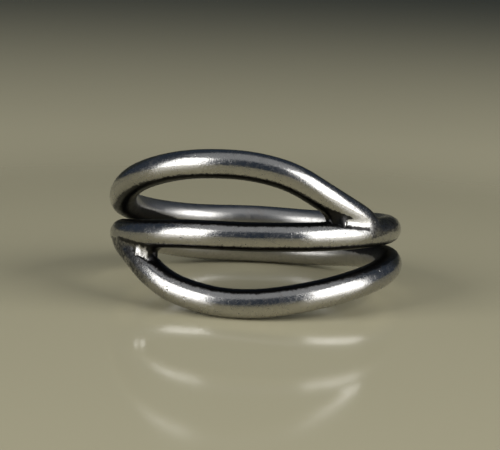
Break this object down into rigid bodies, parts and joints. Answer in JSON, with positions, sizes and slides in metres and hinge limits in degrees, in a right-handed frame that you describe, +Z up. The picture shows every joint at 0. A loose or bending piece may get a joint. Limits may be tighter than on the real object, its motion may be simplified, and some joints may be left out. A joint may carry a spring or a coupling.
{
  "type": "wire ring",
  "caption": "Finger ring wound from round silver wire, with strands that fan apart at the front and ends soldered to the middle strand.",
  "frame": {"origin": "centre of the base of its box, on the surface that the ring lies on", "axes": "+Z up from that surface, -Y towards the front where the strands fan apart, +X to the right seen from the front"},
  "size_m": [0.0216, 0.022, 0.0112],
  "materials": {
    "silver": "polished silver, worn, with fine scratches and dark tarnish in the joints"
  },
  "bodies": {
    "root": {"wire_ring": "silver"}
  },
  "joints": []
}
